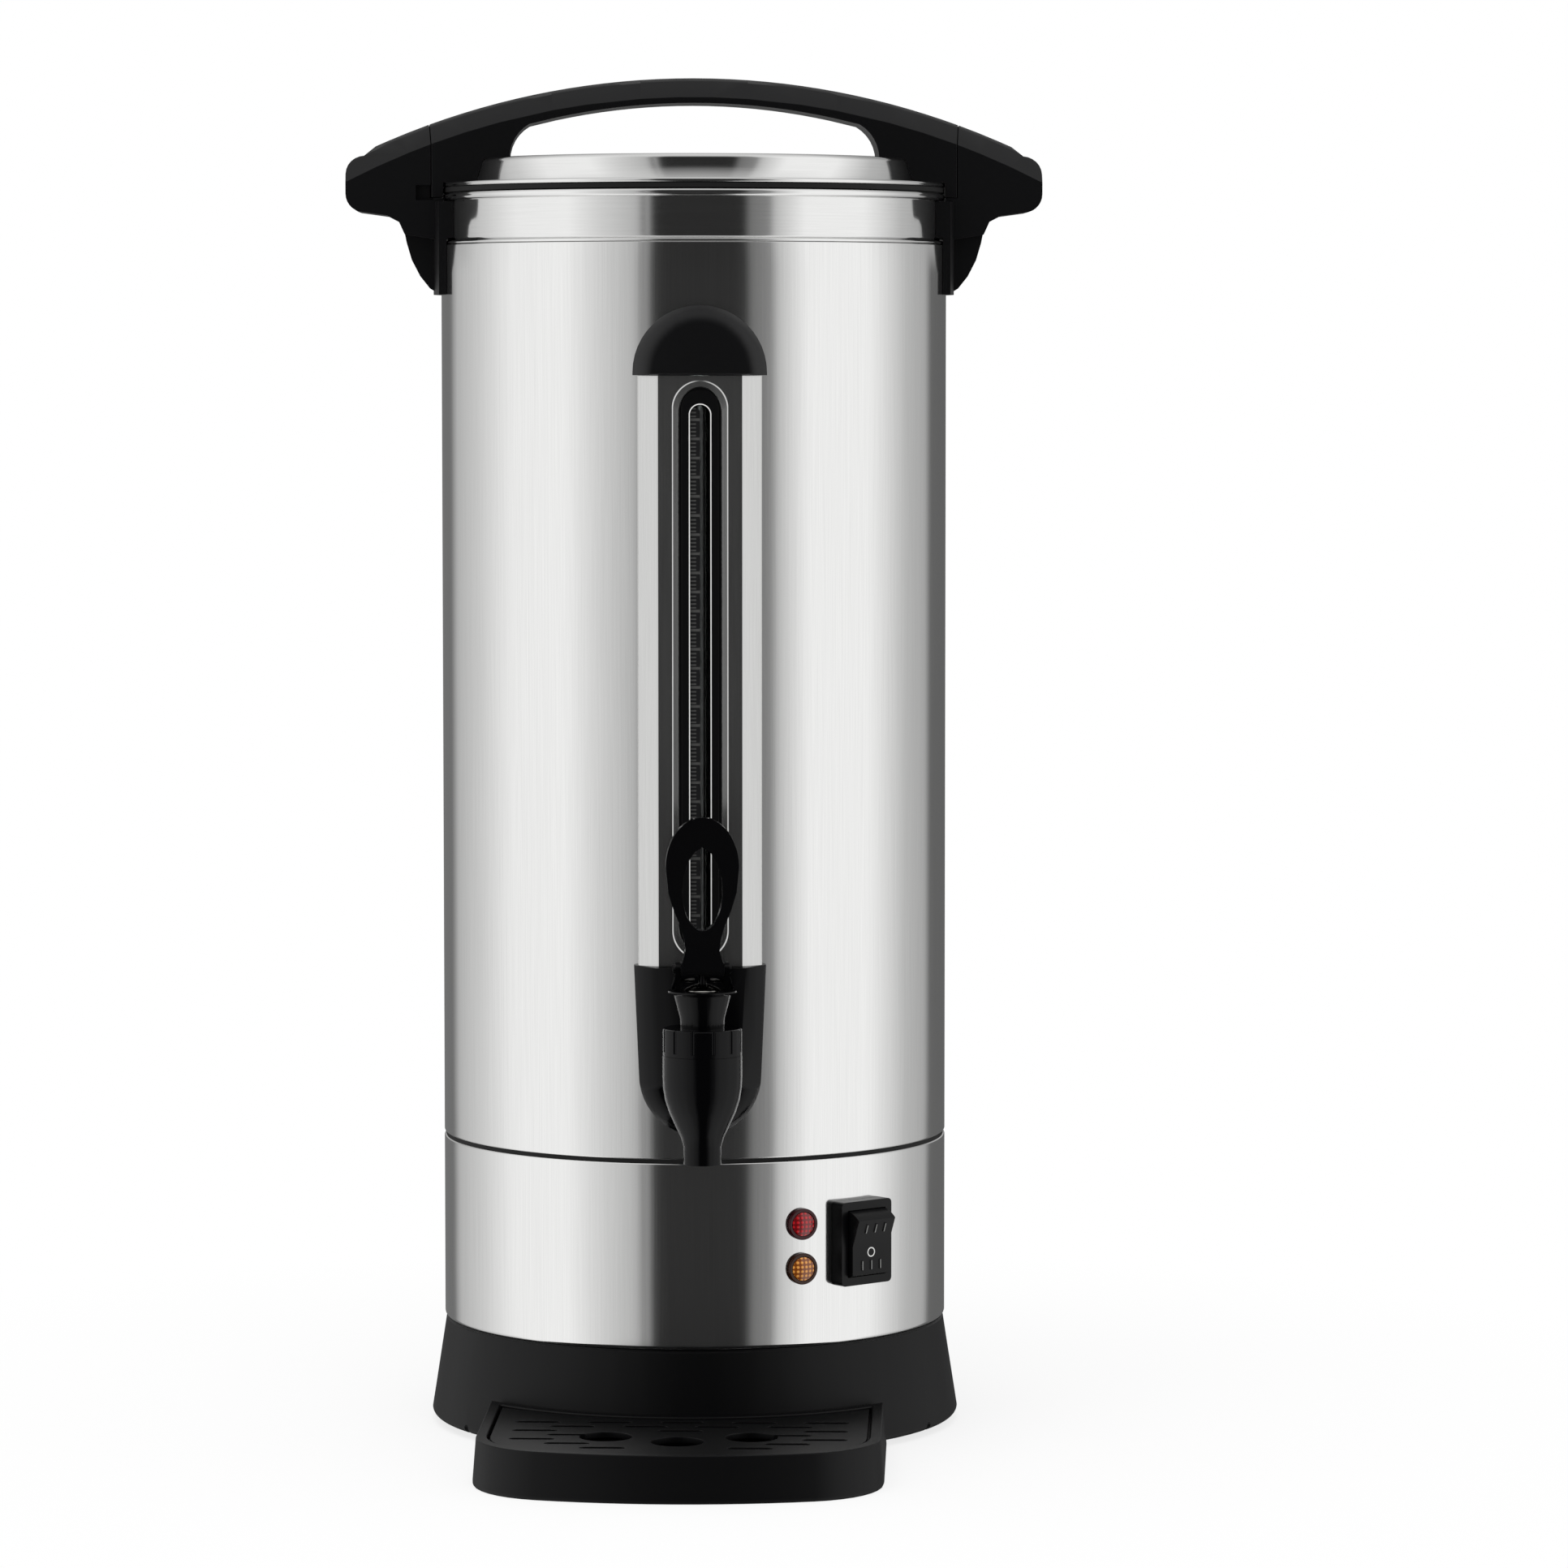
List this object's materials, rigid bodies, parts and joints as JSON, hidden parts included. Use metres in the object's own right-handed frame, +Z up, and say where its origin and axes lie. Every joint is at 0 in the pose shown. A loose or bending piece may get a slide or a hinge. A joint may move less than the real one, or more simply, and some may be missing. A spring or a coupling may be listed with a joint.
{
  "type": "coffee urn",
  "caption": "Tall electric coffee urn: steel body, black base, arched twist lid handle, sight gauge, lever tap, rocker switch, lamps, drip tray.",
  "frame": {"origin": "on the floor, under the middle of the steel body", "axes": "+Z up along the body's axis; -Y forwards, where the tap, gauge and tray are; +X to the right of someone facing the tap"},
  "size_m": [0.302, 0.3277, 0.5872],
  "materials": {
    "brushed_steel": "satin brushed, lines upright",
    "polished_steel": "bright polished",
    "plated_steel": "zinc plated",
    "heater_steel": "dull, heat darkened",
    "cast_aluminium": "as cast",
    "black_phenolic": "soft gloss moulded",
    "black_base": "fine satin grain",
    "black_switch": "gloss",
    "red_lens": "clear red moulded lens",
    "amber_lens": "clear amber moulded lens",
    "clear_tube": "clear",
    "black_rubber": "matt",
    "plain_brass": "machined",
    "white_ceramic": "matt",
    "wire_sleeve": "silicone sleeving"
  },
  "bodies": {
    "urn": {"outer_shell": "brushed_steel", "control_band": "brushed_steel", "gauge_cover": "brushed_steel", "inner_tank": "polished_steel", "coffee_basket": "polished_steel", "basket_cover": "polished_steel", "percolator_tube": "polished_steel", "base_pan": "plated_steel", "base_screws": "plated_steel", "side_handle_screws": "plated_steel", "stem_washer": "plated_steel", "switch_pin": "plated_steel", "inlet_screws": "plated_steel", "tie_rod": "plated_steel", "clamp_nuts": "plated_steel", "warm_heater": "plated_steel", "heater_element": "heater_steel", "heater_plate": "cast_aluminium", "side_handle_left": "black_phenolic", "side_handle_right": "black_phenolic", "gauge_cap": "black_phenolic", "tap_escutcheon": "black_phenolic", "tap_body": "black_phenolic", "tap_bonnet": "black_phenolic", "base_skirt": "black_base", "bottom_cover": "black_base", "gauge_window": "black_base", "gauge_base": "black_base", "switch_housing": "black_switch", "lamp_bezels": "black_switch", "lamp_nuts": "black_switch", "power_inlet": "black_switch", "lamp_red": "red_lens", "lamp_amber": "amber_lens", "sight_tube": "clear_tube", "rubber_feet": "black_rubber", "seam_gasket": "black_rubber", "gauge_grommet": "black_rubber", "tap_washers": "black_rubber", "tap_shank": "plain_brass", "tap_shank_nut": "plain_brass", "switch_terminals": "plain_brass", "inlet_pins": "plain_brass", "thermostats": "white_ceramic", "terminal_block": "white_ceramic", "thermal_fuse": "white_ceramic", "wiring": "wire_sleeve"},
    "lid_ring": {"lid_gasket": "black_rubber"},
    "lid_assembly": {"lid": "polished_steel", "lid_handle": "black_phenolic", "lid_handle_screws": "plated_steel"},
    "lever": {"tap_lever": "black_phenolic", "lever_pins": "plated_steel"},
    "stem": {"tap_stem": "plated_steel", "seat_cup": "black_rubber", "tap_spring": "plated_steel"},
    "rocker": {"switch_rocker": "black_switch"},
    "tray": {"drip_tray": "black_base"},
    "grate": {"drip_grate": "black_base"},
    "pump": {"pump_disc": "polished_steel"}
  },
  "joints": [
    {"name": "lid_lift", "type": "slide", "parent": "urn", "child": "lid_ring", "axis": [0, 0, 1], "range_m": [0, 0.15]},
    {"name": "lid_turn", "type": "hinge", "parent": "lid_ring", "child": "lid_assembly", "pos_m": [0, 0, 0.5397], "axis": [0, 0, 1], "range_deg": [0, 20]},
    {"name": "tap_lever", "type": "hinge", "parent": "urn", "child": "lever", "pos_m": [0, -0.152, 0.213], "axis": [1, 0, 0], "range_deg": [0, 40]},
    {"name": "stem_slide", "type": "slide", "parent": "urn", "child": "stem", "axis": [0, 0, 1], "range_m": [0, 0.00424], "stiffness_N_per_m": 350, "springref_m": -0.004, "deforming": ["tap_spring"]},
    {"name": "switch_rocker", "type": "hinge", "parent": "urn", "child": "rocker", "pos_m": [0.06972, -0.08892, 0.0898], "axis": [0.7869, 0.617, 0], "range_deg": [-20, 0]},
    {"name": "tray_slide", "type": "slide", "parent": "urn", "child": "tray", "axis": [-0.0628, -0.998, 0], "range_m": [0, 0.1]},
    {"name": "grate_lift", "type": "slide", "parent": "tray", "child": "grate", "axis": [0, 0, 1], "range_m": [0, 0.06]},
    {"name": "pump_disc", "type": "slide", "parent": "urn", "child": "pump", "axis": [0, 0, 1], "range_m": [0, 0.002]}
  ],
  "couplings": [
    {"joint": "tap_lever", "follows": "stem_slide", "rad_per_m": 164.6}
  ]
}
